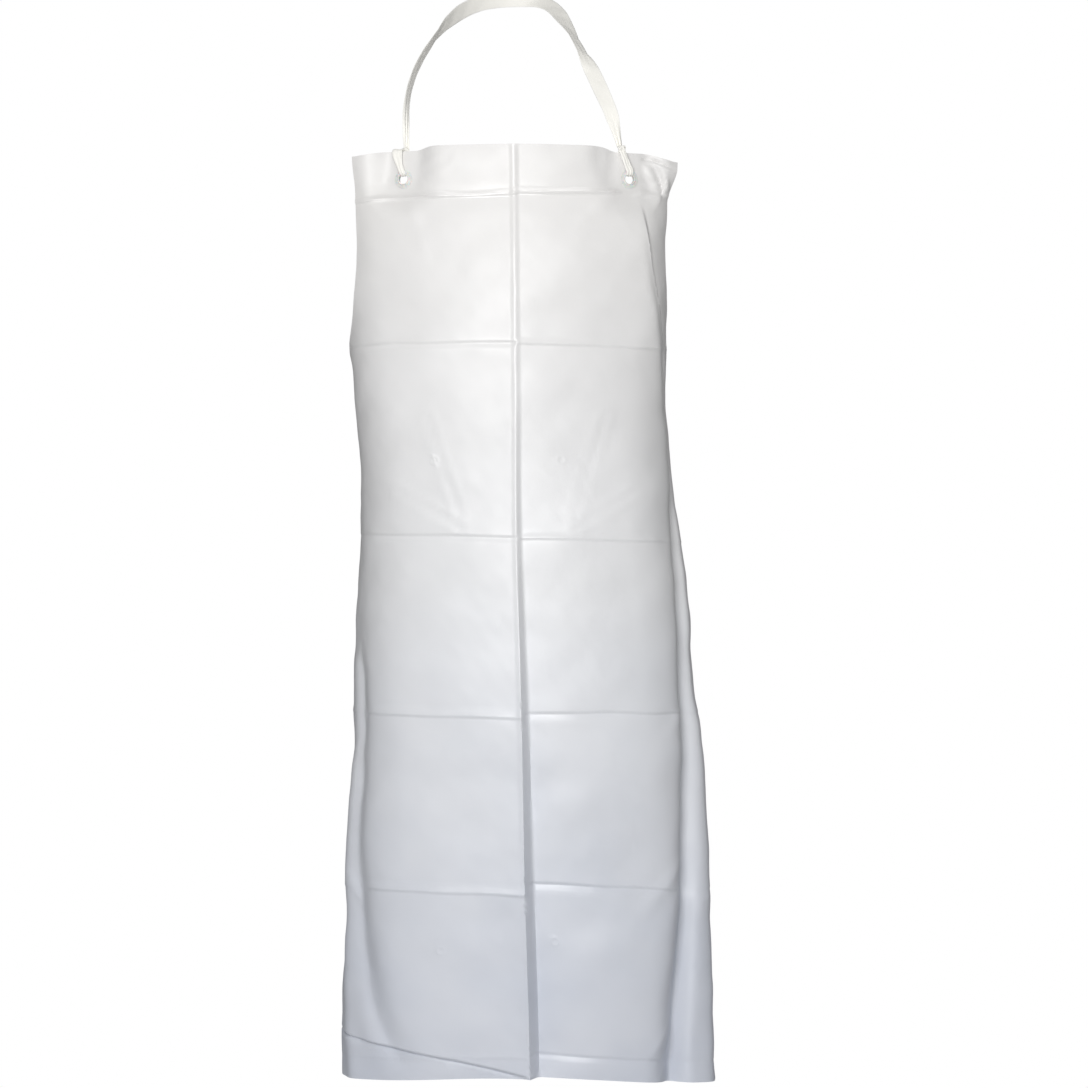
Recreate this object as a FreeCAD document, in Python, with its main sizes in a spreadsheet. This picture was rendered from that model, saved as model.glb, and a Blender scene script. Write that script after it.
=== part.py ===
import FreeCAD, Part
import math
import os

import Sketcher
from FreeCAD import Placement, Rotation, Vector

# A bib apron of clear-white vinyl film, as a butcher wears it: the film hangs from a neck tape that is tied
# through two plastic eyelets in the bib, and wraps round the wearer's sides to two waist eyelets.
# Millimetres. +Z is up and the front of the apron faces -Y. The origin is the middle of the wearer's neck,
# where the tape goes round the nape. "Drop" is the distance below the bib's top edge, and "reach" is the
# distance along the film sideways from its centre line.

DIMENSIONS = {
    # film
    "film_thickness": 0.5,
    "film_length": 1070,
    "bib_reach": 195,
    "waist_reach": 455,
    "armhole_drop": 290,
    "armhole_power": 3.5,
    "bib_top_z": -200,
    "body_axis_y": -40,
    # eyelets, with heights from the inner end of the barrel
    "barrel_end_height": 0.01,
    "eyelet_depth": 3.0,
    "bore_radius": 5.75,
    "barrel_radius": 6.55,
    "lip_radius": 7.05,
    "flange_radius": 11,
    "flange_thickness": 0.5,
    "bead_radius": 7.2,
    "bead_height": 2.0,
    "washer_thickness": 1.2,
    "seat_gap": 0.05,
    "edge_break": 0.4,
    "film_hole_radius": 6.8,
    "film_hole_squash": 0.1,
    "film_punch_depth": 2.0,
    "bib_eyelet_reach": 134.5,
    "bib_eyelet_drop": 36,
    "waist_eyelet_reach": 435,
    "waist_eyelet_drop": 310,
    # neck tape
    "tape_width": 18,
    "tape_thickness": 0.8,
    "loop_width": 7,
    "loop_thickness": 2,
    "loop_inner_radius": 3,
    "loop_foot": 5.5,
    "loop_head": 38,
    "knot_radius": 5.5,
    "knot_length": 13,
    "knot_rounding": 3,
    "knot_height": 42,
}

# The wearer's body at each level as the film wraps it: drop, half width, half depth, and the radius of the
# side arcs as a share of the half depth.
BODY_LEVELS = [
    (0, 186, 95, 0.74),
    (75, 183, 105, 0.75),
    (141, 180, 113, 0.77),
    (227, 176, 114, 0.80),
    (290, 177, 113, 0.82),
    (382, 181, 114, 0.84),
    (451, 184, 116, 0.86),
    (520, 187, 119, 0.86),
    (653, 196, 124, 0.86),
    (772, 202, 127, 0.86),
    (852, 206, 128, 0.86),
    (978, 211, 130, 0.86),
    (1070, 213, 130, 0.86),
]
LEVEL_WORDS = ("drop", "half_width", "half_depth", "side_share")

# Half of the neck tape's route, from the right knot over the shoulder to the nape. The other half mirrors it.
TAPE_ROUTE = [
    (128.2, -107.3, -187.5),
    (118.2, -98.5, -160.0),
    (105.3, -70.6, -116.0),
    (89.7, -36.8, -74.0),
    (73.5, -1.6, -40.0),
    (51.8, 45.2, -10.0),
    (19.3, 66.0, 0.0),
]
# The tape's width lies this way as far as its run allows: across the chest and upright at the nape.
TAPE_ACROSS = (0.7, 0.0, 0.7)
ARC_SHARE = 0.45

FILM_COLUMNS = 41
FILM_DROPS = (
    0, 38, 75, 108, 141, 184, 227, 258, 290, 336, 382,
    451, 520, 586, 653, 712, 772, 852, 915, 978, 1070,
)
FRAME_STEP = 0.5
ARMHOLE_ROWS = 17
AREA_STEPS = 200
CUTTER_REACH = 300
SEW_TOLERANCE = 0.001

document = FreeCAD.newDocument("butcher_apron")
sheet = document.addObject("Spreadsheet::Sheet", "Dimensions")


def fill_sheet():
    """Put each driving dimension in a cell of its own, under its name."""
    rows = list(DIMENSIONS.items())
    for number, level in enumerate(BODY_LEVELS):
        rows += [(f"level_{number}_{word}", value) for word, value in zip(LEVEL_WORDS, level)]
    for row, (name, value) in enumerate(rows, start=1):
        sheet.set(f"A{row}", name)
        sheet.set(f"B{row}", str(value))
        sheet.setAlias(f"B{row}", name)
    document.recompute()


def size(name):
    """A driving dimension, read from the sheet."""
    return float(sheet.get(name))


# ---- the wearer's body and the cut of the film ----


def body_value(word, drop):
    """One of the body's measures at any drop: a smooth curve through the levels."""
    drops = [size(f"level_{n}_drop") for n in range(len(BODY_LEVELS))]
    values = [size(f"level_{n}_{word}") for n in range(len(BODY_LEVELS))]
    last = len(drops) - 1
    slopes = []
    for n in range(last + 1):
        before, after = max(n - 1, 0), min(n + 1, last)
        slopes.append((values[after] - values[before]) / (drops[after] - drops[before]))
    drop = min(max(drop, drops[0]), drops[last])
    n = min(sum(d <= drop for d in drops) - 1, last - 1)
    span = drops[n + 1] - drops[n]
    t = (drop - drops[n]) / span
    return (
        values[n] * (1 + 2 * t) * (1 - t) ** 2
        + slopes[n] * span * t * (1 - t) ** 2
        + values[n + 1] * t * t * (3 - 2 * t)
        + slopes[n + 1] * span * t * t * (t - 1)
    )


def outer_point(reach, drop):
    """The film's outer face: four tangent arcs round the body, walked sideways from the centre line."""
    half_width = body_value("half_width", drop)
    half_depth = body_value("half_depth", drop)
    side = body_value("side_share", drop) * half_depth
    centre_x = half_width - side
    front = (centre_x**2 + half_depth**2 - side**2) / (2 * (half_depth - side))
    front_angle = math.atan2(centre_x, front - half_depth)
    side_angle = math.pi - 2 * front_angle
    walked = abs(reach)
    if walked <= front * front_angle:
        angle = walked / front
        x, y = front * math.sin(angle), front - half_depth - front * math.cos(angle)
    elif walked <= front * front_angle + side * side_angle:
        angle = front_angle + (walked - front * front_angle) / side
        x, y = centre_x + side * math.sin(angle), -side * math.cos(angle)
    else:
        angle = (walked - front * front_angle - side * side_angle) / front + math.pi - front_angle
        x, y = front * math.sin(angle), half_depth - front - front * math.cos(angle)
    return Vector(x if reach > 0 else -x, size("body_axis_y") + y, size("bib_top_z") - drop)


def film_frame(reach, drop):
    """A point of the outer face, with its sideways, upward and outward directions."""
    point = outer_point(reach, drop)
    across = outer_point(reach + FRAME_STEP, drop) - outer_point(reach - FRAME_STEP, drop)
    up = outer_point(reach, max(drop - FRAME_STEP, 0)) - outer_point(reach, drop + FRAME_STEP)
    outward = across.cross(up).normalize()
    up = outward.cross(across).normalize()
    return point, across.normalize(), up, outward


def bib_reach_at(turn):
    """The armhole: a quarter superellipse, from the bib's corner (turn 0) to the waist corner (turn 1)."""
    power = size("armhole_power")
    angle = turn * math.pi / 2
    drop = size("armhole_drop") * math.sin(angle) ** (2 / power)
    fall = 1 - math.cos(angle) ** (2 / power)
    return size("bib_reach") + (size("waist_reach") - size("bib_reach")) * fall, drop


def wrapped_oblong():
    """The film before it is cut: a closed sheet of even thickness, as wide as the waist all the way up."""
    surfaces = []
    last = FILM_COLUMNS - 1
    reaches = [size("waist_reach") * (2 * n / last - 1) for n in range(FILM_COLUMNS)]
    for depth in (0, size("film_thickness")):
        points = []
        for drop in FILM_DROPS:
            frames = [film_frame(reach, drop) for reach in reaches]
            points.append([point - outward * depth for point, _, _, outward in frames])
        surface = Part.BSplineSurface()
        surface.interpolate(points)
        surfaces.append(surface)
    faces = [surface.toShape() for surface in surfaces]
    first_row, last_row, first_column, last_column = surfaces[0].bounds()
    for row in (first_row, last_row):
        faces.append(Part.makeRuledSurface(*[s.uIso(row).toShape() for s in surfaces]))
    for column in (first_column, last_column):
        faces.append(Part.makeRuledSurface(*[s.vIso(column).toShape() for s in surfaces]))
    shell = Part.makeShell(faces)
    shell.sewShape(SEW_TOLERANCE)
    solid = Part.Solid(shell.Shells[0])
    if solid.Volume < 0:
        solid.reverse()
    return solid


def armhole_cutter():
    """What is cut away behind the bib: a block through both sides, with the armhole's curve as its front."""
    turns = [n / (ARMHOLE_ROWS - 1) for n in range(ARMHOLE_ROWS)]
    points = [outer_point(*bib_reach_at(turn)) for turn in turns]
    side_view = [Vector(-CUTTER_REACH, point.y, point.z) for point in points]
    curve = Part.BSplineCurve()
    curve.interpolate(side_view)
    top, bottom = side_view[0], side_view[-1]
    corners = [
        bottom,
        bottom + Vector(0, CUTTER_REACH, 0),
        Vector(top.x, bottom.y + CUTTER_REACH, top.z + CUTTER_REACH),
        top + Vector(0, 0, CUTTER_REACH),
        top,
    ]
    outline = Part.Wire([curve.toShape()] + Part.makePolygon(corners).Edges)
    return Part.Face(outline).extrude(Vector(2 * CUTTER_REACH, 0, 0))


def hole_punch(reach, drop):
    """What one eyelet's hole takes out of the film. The film's pull makes it a little wider than high."""
    point, across, _, outward = film_frame(reach, drop)
    depth = size("film_punch_depth")
    long_radius = size("film_hole_radius")
    oval = Part.Ellipse(Vector(), long_radius, long_radius - size("film_hole_squash"))
    face = Part.Face(Part.Wire(oval.toShape()))
    face.Placement = Placement(point - outward * depth, Rotation(across, Vector(), outward, "ZXY"))
    return face.extrude(outward * (2 * depth))


def make_panel(film_holes):
    """The one sheet of film: a wrapped oblong with its armholes cut away, punched for the eyelets."""
    film = wrapped_oblong().cut(armhole_cutter())
    for reach, drop in film_holes:
        film = film.cut(hole_punch(reach, drop))
    flat_area = 2 * size("waist_reach") * (size("film_length") - size("armhole_drop"))
    edge = [bib_reach_at(n / AREA_STEPS) for n in range(AREA_STEPS + 1)]
    flat_area += sum((r0 + r1) * (d1 - d0) for (r0, d0), (r1, d1) in zip(edge, edge[1:]))
    print("film flat area", round(flat_area), "volume", round(film.Volume),
          "area times thickness", round(flat_area * size("film_thickness")))
    panel = document.addObject("Part::Feature", "apron_panel")
    panel.Label = "apron_panel"
    panel.Shape = film.Solids[0]
    panel.Placement = Placement()
    return panel


# ---- eyelets ----


def turned_body(label, corners, placement):
    """A PartDesign body turned about Z from a closed outline of (radius, height) expressions."""
    body = document.addObject("PartDesign::Body", label)
    body.Label = label
    sketch = body.newObject("Sketcher::SketchObject", label + "_outline")
    plane = next(f for f in body.Origin.OriginFeatures if f.Role == "XZ_Plane")
    sketch.AttachmentSupport = [(plane, "")]
    sketch.MapMode = "FlatFace"
    values = [tuple(float(sheet.evalExpression(e)) for e in corner) for corner in corners]
    count = len(corners)
    for n in range(count):
        start, end = Vector(*values[n], 0), Vector(*values[(n + 1) % count], 0)
        sketch.addGeometry(Part.LineSegment(start, end))
    for n in range(count):
        sketch.addConstraint(Sketcher.Constraint("Coincident", n, 2, (n + 1) % count, 1))
    for n in range(count):
        for kind, expression, value in zip(("DistanceX", "DistanceY"), corners[n], values[n]):
            place = sketch.addConstraint(Sketcher.Constraint(kind, -1, 1, n, 1, value))
            sketch.setExpression(f"Constraints[{place}]", expression)
    turned = body.newObject("PartDesign::Revolution", label + "_turned")
    turned.Profile = sketch
    turned.ReferenceAxis = (sketch, ["V_Axis"])
    turned.Angle = 360
    body.Placement = placement
    return body


def named(text):
    """An expression with the sheet's name before each of its dimensions."""
    words = text.split()
    return " ".join("Dimensions." + w if w in DIMENSIONS else w for w in words)


EYELET_OUTLINE = [
    ("bore_radius + edge_break", "barrel_end_height"),
    ("lip_radius - edge_break", "barrel_end_height"),
    ("lip_radius", "edge_break"),
    ("lip_radius", "2 * edge_break"),
    ("barrel_radius", "2 * edge_break + seat_gap"),
    ("barrel_radius", "eyelet_depth + seat_gap"),
    ("flange_radius", "eyelet_depth + seat_gap"),
    ("flange_radius", "eyelet_depth + flange_thickness"),
    ("bead_radius + edge_break", "eyelet_depth + 2 * flange_thickness"),
    ("bead_radius", "eyelet_depth + bead_height - edge_break"),
    ("bead_radius - edge_break", "eyelet_depth + bead_height"),
    ("bore_radius + edge_break", "eyelet_depth + bead_height"),
    ("bore_radius", "eyelet_depth + bead_height - edge_break"),
    ("bore_radius", "edge_break"),
]
WASHER_OUTLINE = [
    ("barrel_radius + 2 * seat_gap", "2 * edge_break + 4 * seat_gap"),
    ("flange_radius - edge_break", "2 * edge_break + 4 * seat_gap"),
    ("flange_radius", "3 * edge_break + 4 * seat_gap"),
    ("flange_radius", "2 * edge_break + 4 * seat_gap + washer_thickness"),
    ("barrel_radius + 2 * seat_gap", "2 * edge_break + 4 * seat_gap + washer_thickness"),
]


def seat_on_film(reach, drop):
    """Where an eyelet's barrel ends inside the film, with its axis along the film's outward direction."""
    point, across, up, outward = film_frame(reach, drop)
    return Placement(point - outward * size("eyelet_depth"), Rotation(across, up, outward, "ZXY"))


def make_eyelets(film_holes):
    """A flanged eyelet outside the film and a washer snapped over its barrel inside, at each film hole."""
    made = []
    for place, (reach, drop) in film_holes.items():
        seat = seat_on_film(reach, drop)
        for word, outline in (("eyelet", EYELET_OUTLINE), ("washer", WASHER_OUTLINE)):
            corners = [tuple(named(e) for e in corner) for corner in outline]
            side = "right" if reach > 0 else "left"
            made.append(turned_body(f"{place.split('_')[0]}_{word}_{side}", corners, seat))
    return made


# ---- neck tape ----


def primitive(kind, name, placement, **bound):
    """A Part primitive whose sizes are bound to the sheet."""
    item = document.addObject(kind, name)
    item.Placement = placement
    for field, expression in bound.items():
        item.setExpression(field, named(expression))
    return item


def long_slot(name, radius, bottom, top, base):
    """An upright plate with round ends, across the film: two cylinders and the box between their axes."""
    turned = Rotation(Vector(0, 0, 1), Vector(0, 1, 0), Vector(-1, 0, 0), "ZXY")
    start = Vector(size("loop_width") / 2, 0, 0)
    ends = []
    for word, height in (("foot", bottom), ("head", top)):
        place = base.multiply(Placement(start + Vector(0, size(height), 0), turned))
        ends.append(
            primitive("Part::Cylinder", f"{name}_{word}", place, Radius=radius, Height="loop_width")
        )
    half = float(sheet.evalExpression(named(radius)))
    corner = Vector(-size("loop_width") / 2, size(bottom), -half)
    middle = primitive(
        "Part::Box",
        f"{name}_middle",
        base.multiply(Placement(corner, Rotation())),
        Length="loop_width",
        Width=f"{top} - {bottom}",
        Height=f"2 * ( {radius} )",
    )
    slot = document.addObject("Part::MultiFuse", name)
    slot.Shapes = ends + [middle]
    return slot


def make_loop_and_knot(side, reach):
    """The tape's loop through one bib eyelet and over the film's edge, and the knot that closes it on top."""
    point, across, up, outward = film_frame(reach, size("bib_eyelet_drop"))
    base = Placement(point - outward * (size("film_thickness") / 2), Rotation(across, up, outward, "ZXY"))
    outer = long_slot(
        f"{side}_loop_outer", "loop_inner_radius + loop_thickness", "loop_foot", "loop_head", base
    )
    inner = long_slot(f"{side}_loop_inner", "loop_inner_radius", "loop_foot", "loop_head", base)
    loop = document.addObject("Part::Cut", f"{side}_eyelet_loop")
    loop.Base, loop.Tool = outer, inner
    centre = base.multVec(Vector(0, size("knot_height"), 0))
    lying = Rotation(Vector(0, 0, 1), Vector(0, 1, 0), Vector(-1, 0, 0), "ZXY")
    start = centre + Vector(size("knot_length") / 2, 0, 0)
    blank = primitive(
        "Part::Cylinder", f"{side}_knot_blank", Placement(start, lying),
        Radius="knot_radius", Height="knot_length",
    )
    document.recompute()
    lump = document.addObject("Part::Fillet", f"{side}_knot_lump")
    lump.Base = blank
    rims = [
        number
        for number, edge in enumerate(blank.Shape.Edges, start=1)
        if edge.Closed and edge.Curve.TypeId == "Part::GeomCircle"
    ]
    lump.Edges = [(rim, size("knot_rounding"), size("knot_rounding")) for rim in rims]
    document.recompute()
    knot = document.addObject("Part::Cut", f"{side}_knot")
    knot.Base, knot.Tool = lump, loop
    loop.Label, knot.Label = f"{side}_eyelet_loop", f"{side}_knot"
    print(f"{side} knot centre", [round(c, 3) for c in centre])
    return [loop, knot]


def rounded_path(points):
    """Straight runs joined by tangent arcs, each as large as its two runs allow."""
    edges, radii, start = [], [], points[0]
    for before, corner, after in zip(points, points[1:], points[2:]):
        back, ahead = before - corner, after - corner
        half_turn = (math.pi - back.getAngle(ahead)) / 2
        trim = ARC_SHARE * min(back.Length, ahead.Length)
        radius = trim / math.tan(half_turn)
        enter = corner + back.normalize() * trim
        leave = corner + ahead.normalize() * trim
        bisector = (back + ahead).normalize()
        middle = corner + bisector * (radius / math.cos(half_turn) - radius)
        edges += [Part.LineSegment(start, enter).toShape(), Part.Arc(enter, middle, leave).toShape()]
        radii.append(round(radius, 1))
        start = leave
    edges.append(Part.LineSegment(start, points[-1]).toShape())
    return edges, radii


def tape_across(points, n):
    """The direction of the tape's width at one point of its route."""
    along = (points[min(n + 1, len(points) - 1)] - points[max(n - 1, 0)]).normalize()
    share = abs(points[n].x) / points[n].x if points[n].x else 0
    lean = Vector(share * TAPE_ACROSS[0], TAPE_ACROSS[1], TAPE_ACROSS[2])
    return (lean - along * lean.dot(along)).normalize()


def make_tape():
    """The flat neck tape, swept from knot to knot over the shoulders and round the nape."""
    half = [Vector(*place) for place in TAPE_ROUTE]
    points = half + [Vector(-p.x, p.y, p.z) for p in reversed(half)]
    edges, radii = rounded_path(points)
    path = Part.Wire(edges)
    guide_points = [p + tape_across(points, n) * size("tape_width") for n, p in enumerate(points)]
    guide = Part.Wire(rounded_path(guide_points)[0])
    first_run = (points[1] - points[0]).normalize()
    across = guide_points[0] - points[0]
    across = (across - first_run * across.dot(first_run)).normalize()
    wide = across * (size("tape_width") / 2)
    thick = first_run.cross(across) * (size("tape_thickness") / 2)
    corners = [wide + thick, thick - wide, -wide - thick, wide - thick]
    section = Part.makePolygon([points[0] + c for c in corners + corners[:1]])
    sweep = Part.BRepOffsetAPI.MakePipeShell(path)
    sweep.setAuxiliarySpine(guide, False, 0)
    sweep.add(section)
    sweep.build()
    sweep.makeSolid()
    tape = document.addObject("Part::Feature", "neck_tape")
    tape.Label = "neck_tape"
    tape.Shape = sweep.shape()
    tape.Placement = Placement()
    area = size("tape_width") * size("tape_thickness")
    print("tape length", round(path.Length, 1), "radii", radii)
    print("tape volume", round(tape.Shape.Volume), "section times length", round(area * path.Length))
    return tape


# ---- the whole apron ----

fill_sheet()
holes = {
    "neck_right": (size("bib_eyelet_reach"), size("bib_eyelet_drop")),
    "neck_left": (-size("bib_eyelet_reach"), size("bib_eyelet_drop")),
    "waist_right": (size("waist_eyelet_reach"), size("waist_eyelet_drop")),
    "waist_left": (-size("waist_eyelet_reach"), size("waist_eyelet_drop")),
}
pieces = [make_panel(holes.values()), make_tape()] + make_eyelets(holes)
for side, reach in (("right", size("bib_eyelet_reach")), ("left", -size("bib_eyelet_reach"))):
    pieces += make_loop_and_knot(side, reach)
document.recompute()

failed = [item.Name for item in document.Objects if {"Invalid", "Error"} & set(item.State)]
failed += [item.Label for item in pieces if item.Shape.isNull() or not item.Shape.isValid()]
if failed:
    raise RuntimeError(f"these objects failed: {failed}")
os.makedirs("parts", exist_ok=True)
for item in pieces:
    item.Shape.exportStep(f"parts/{item.Label}.step")
    box = item.Shape.BoundBox
    print(item.Label, len(item.Shape.Solids), round(item.Shape.Volume, 1), box)
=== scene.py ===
import math
from collections import namedtuple

import bpy
import numpy as np
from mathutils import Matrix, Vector
from mathutils.geometry import delaunay_2d_cdt


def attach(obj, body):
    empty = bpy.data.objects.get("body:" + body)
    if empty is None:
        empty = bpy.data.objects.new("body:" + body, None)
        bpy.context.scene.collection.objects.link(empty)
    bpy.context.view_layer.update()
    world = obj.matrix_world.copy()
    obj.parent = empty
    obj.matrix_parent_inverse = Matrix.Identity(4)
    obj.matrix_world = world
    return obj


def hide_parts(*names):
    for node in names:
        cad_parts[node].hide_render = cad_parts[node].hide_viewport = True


# A butcher's bib apron of white vinyl film, hung from a woven neck tape and wrapped round its wearer.
# The film, and the tape's widths, loops and knots, are worked out in millimetres, and everything else in
# metres. On the film's flat cut, "reach" is the distance sideways from the centre line, positive towards
# +X, and "drop" is the distance below the bib's top edge.

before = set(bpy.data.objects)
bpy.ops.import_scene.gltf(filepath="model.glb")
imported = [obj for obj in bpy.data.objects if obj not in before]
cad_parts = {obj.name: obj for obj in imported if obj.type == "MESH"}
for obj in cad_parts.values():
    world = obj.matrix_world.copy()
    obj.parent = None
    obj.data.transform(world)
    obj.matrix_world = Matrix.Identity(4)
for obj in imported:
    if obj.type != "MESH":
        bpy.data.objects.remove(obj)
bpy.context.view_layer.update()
MM = 0.001

# ---- camera ----

CAMERA_PLACE = (0.032, -4.153, -0.659)
CAMERA_LENS = 115.3

camera_data = bpy.data.cameras.new("camera")
camera_data.lens = CAMERA_LENS
camera_data.sensor_width = 36
camera = bpy.data.objects.new("camera", camera_data)
camera.location = CAMERA_PLACE
camera.rotation_euler = (math.pi / 2, 0, 0)
bpy.context.scene.collection.objects.link(camera)
bpy.context.scene.camera = camera

# ---- small tools ----

WAVES = 7
WAVE_STRETCH = (0.7, 1.5)
CURVE_RUNS = 8


def ramp(value, low, high):
    """0 below low, 1 above high, and a smooth step between them."""
    t = np.clip((value - low) / (high - low), 0, 1)
    return t * t * (3 - 2 * t)


def hill(distance, width):
    """1 at no distance, falling off as a bell."""
    return np.exp(-((distance / width) ** 2))


def peak(distance, width):
    """1 at no distance, falling off as a pressed fold does, sharp in the middle."""
    return np.exp(-np.abs(distance) / width)


def tent(distance, width):
    """1 at no distance, falling off evenly to 0 at the width."""
    return np.clip(1 - np.abs(distance) / width, 0, 1)


def past(distance, softness):
    """How far a place lies past an edge, 0 before it, with a soft turn."""
    return softness * np.logaddexp(0, distance / softness)


def by_side(reach, left, right):
    """The left value at each reach below 0, and the right one elsewhere."""
    return np.where(reach < 0, left, right)


def swell(reach, drop, length, seed):
    """A gentle irregular wave over the film, about -1 to 1, whose waves are about one length long."""
    draw = np.random.default_rng(seed)
    total = np.zeros(np.shape(reach))
    for _ in range(WAVES):
        angle = draw.uniform(0, 2 * math.pi)
        phase = draw.uniform(0, 2 * math.pi)
        stretch = draw.uniform(*WAVE_STRETCH)
        along = reach * math.cos(angle) + drop * math.sin(angle)
        total += np.sin(2 * math.pi * along / (length * stretch) + phase)
    return total / math.sqrt(WAVES)


def unit(vectors):
    """Each vector at length one."""
    return vectors / np.linalg.norm(vectors, axis=-1, keepdims=True)


def flat_points(reach, drop):
    """Flat points from their reaches and drops, of which one may be the same for all."""
    return np.stack([part.ravel() for part in np.broadcast_arrays(reach, drop)], axis=1)


def curved(corners):
    """A smooth flat curve through a few points, as many short straight runs."""
    corners = np.array(corners, float)
    slopes = np.gradient(corners, axis=0)
    t = np.linspace(0, 1, CURVE_RUNS, endpoint=False)[:, None]
    pieces = []
    for n in range(len(corners) - 1):
        start = corners[n] * (1 + 2 * t) * (1 - t) ** 2 + slopes[n] * t * (1 - t) ** 2
        end = corners[n + 1] * t * t * (3 - 2 * t) + slopes[n + 1] * t * t * (t - 1)
        pieces.append(start + end)
    return np.concatenate(pieces + [corners[-1:]])


def walked(route):
    """How far along a route each of its points lies."""
    steps = np.linalg.norm(np.diff(np.array(route, float), axis=0), axis=1)
    return np.concatenate([[0], np.cumsum(steps)])


def nearest(reach, drop, route):
    """Distance from a route of flat points, below 0 on the side towards -X of one that runs down, and the
    share of the route's length that lies behind its nearest place."""
    best = np.full(np.shape(reach), np.inf)
    share = np.zeros(np.shape(reach))
    run = walked(route)
    for n, (start, end) in enumerate(zip(route, route[1:])):
        du, dv = end[0] - start[0], end[1] - start[1]
        t = np.clip(((reach - start[0]) * du + (drop - start[1]) * dv) / (du * du + dv * dv), 0, 1)
        distance = np.hypot(reach - start[0] - t * du, drop - start[1] - t * dv)
        side = np.where((reach - start[0]) * dv - (drop - start[1]) * du < 0, -1, 1)
        closer = distance < np.abs(best)
        best = np.where(closer, distance * side, best)
        share = np.where(closer, (run[n] + t * (run[n + 1] - run[n])) / run[-1], share)
    return best, share


def beside(route, spacing, offsets):
    """Flat points in rows that follow a route, one row at each of these distances from it."""
    run = walked(route)
    even = np.linspace(0, run[-1], int(run[-1] / spacing) + 1)
    line = flat_points(np.interp(even, run, route[:, 0]), np.interp(even, run, route[:, 1]))
    along = unit(np.gradient(line, axis=0))
    aside = along[:, ::-1] * (1, -1)
    return np.concatenate([line + aside * offset for offset in offsets])


# ---- the film's cut, and its shape when worn ----

FILM_THICKNESS = 0.5
FILM_LENGTH = 1070
BIB_REACH = 195
WAIST_REACH = 455
ARMHOLE_DROP = 290
ARMHOLE_POWER = 3.5
BIB_TOP_Z = -200
BODY_AXIS_Y = -40
BIB_EYELET = (134.5, 36)
WAIST_EYELET = (435, 310)
FILM_HOLE = 6.8

# The CAD wrap: drop, then its half width, half depth and the side arcs' share of the depth.
WRAP_LEVELS = np.array([
    (0, 186, 95, 0.74),
    (75, 183, 105, 0.75),
    (141, 180, 113, 0.77),
    (227, 176, 114, 0.80),
    (290, 177, 113, 0.82),
    (382, 181, 114, 0.84),
    (451, 184, 116, 0.86),
    (520, 187, 119, 0.86),
    (653, 196, 124, 0.86),
    (772, 202, 127, 0.86),
    (852, 206, 128, 0.86),
    (978, 211, 130, 0.86),
    (1070, 213, 130, 0.86),
])
# The worn film: drop, then its centre line and its left and right half widths.
WORN_LEVELS = np.array([
    (0, 0, 219, 212),
    (150, 0, 206, 196),
    (300, 0, 191, 178),
    (450, 2, 185, 192),
    (650, 9, 200, 203),
    (850, 12, 214, 213),
    (1070, 16, 219, 219),
])
# The worn shape turns into the CAD wrap between these reaches, and away from it between these distances
# from an eyelet.
BACK_BLEND = (250, 380)
EYELET_BLEND = (13, 50)
# How far the film sags at its left and at its right: towards the hem, at the bib's corners, and at its top
# edge beside the tape. The last two grow between their reaches and fade down to their drop.
HEM_SAG = (11, 15)
HEM_POWER = 1.5
HEM_REACH = 260
CORNER_SAG = (5, 9)
CORNER_SPAN = (150, 195)
CORNER_DROP = 90
EDGE_SAG = (3.5, 5.5)
EDGE_SPAN = (95, 122)
EDGE_DROP = 22
# The film's directions at a place are those between places this far to each side of it.
SLOPE_STEP = 0.5


def level_value(levels, column, drop):
    """One of the levels' measures at any drop: a smooth curve through them."""
    drops, values = levels[:, 0], levels[:, column]
    last = len(drops) - 1
    number = np.arange(last + 1)
    before, after = np.maximum(number - 1, 0), np.minimum(number + 1, last)
    slopes = (values[after] - values[before]) / (drops[after] - drops[before])
    drop = np.clip(drop, drops[0], drops[last])
    n = np.clip(np.searchsorted(drops, drop, side="right") - 1, 0, last - 1)
    span = drops[n + 1] - drops[n]
    t = (drop - drops[n]) / span
    return (
        values[n] * (1 + 2 * t) * (1 - t) ** 2
        + slopes[n] * span * t * (1 - t) ** 2
        + values[n + 1] * t * t * (3 - 2 * t)
        + slopes[n + 1] * span * t * t * (t - 1)
    )


def wrap(reach, half_width, drop):
    """Four tangent arcs round the body, walked sideways from the front: x and y about the body's axis."""
    half_depth = level_value(WRAP_LEVELS, 2, drop)
    side = level_value(WRAP_LEVELS, 3, drop) * half_depth
    centre_x = half_width - side
    front = (centre_x**2 + half_depth**2 - side**2) / (2 * (half_depth - side))
    front_angle = np.arctan2(centre_x, front - half_depth)
    side_angle = math.pi - 2 * front_angle
    around = np.abs(reach)
    at_front = around / front
    at_side = front_angle + (around - front * front_angle) / side
    at_back = (around - front * front_angle - side * side_angle) / front + math.pi - front_angle
    zones = [around <= front * front_angle, around <= front * front_angle + side * side_angle]
    side_x = centre_x + side * np.sin(at_side)
    x = np.select(zones, [front * np.sin(at_front), side_x], front * np.sin(at_back))
    front_y = front - half_depth - front * np.cos(at_front)
    y = np.select(zones, [front_y, -side * np.cos(at_side)], half_depth - front - front * np.cos(at_back))
    return np.sign(reach) * x, y


def eyelet_distance(reach, drop):
    """Distance from the nearest eyelet, or from the film between a bib eyelet and the edge above it."""
    bib = np.hypot(np.abs(reach) - BIB_EYELET[0], drop - np.clip(drop, 0, BIB_EYELET[1]))
    waist = np.hypot(np.abs(reach) - WAIST_EYELET[0], drop - WAIST_EYELET[1])
    return np.minimum(bib, waist)


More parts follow.
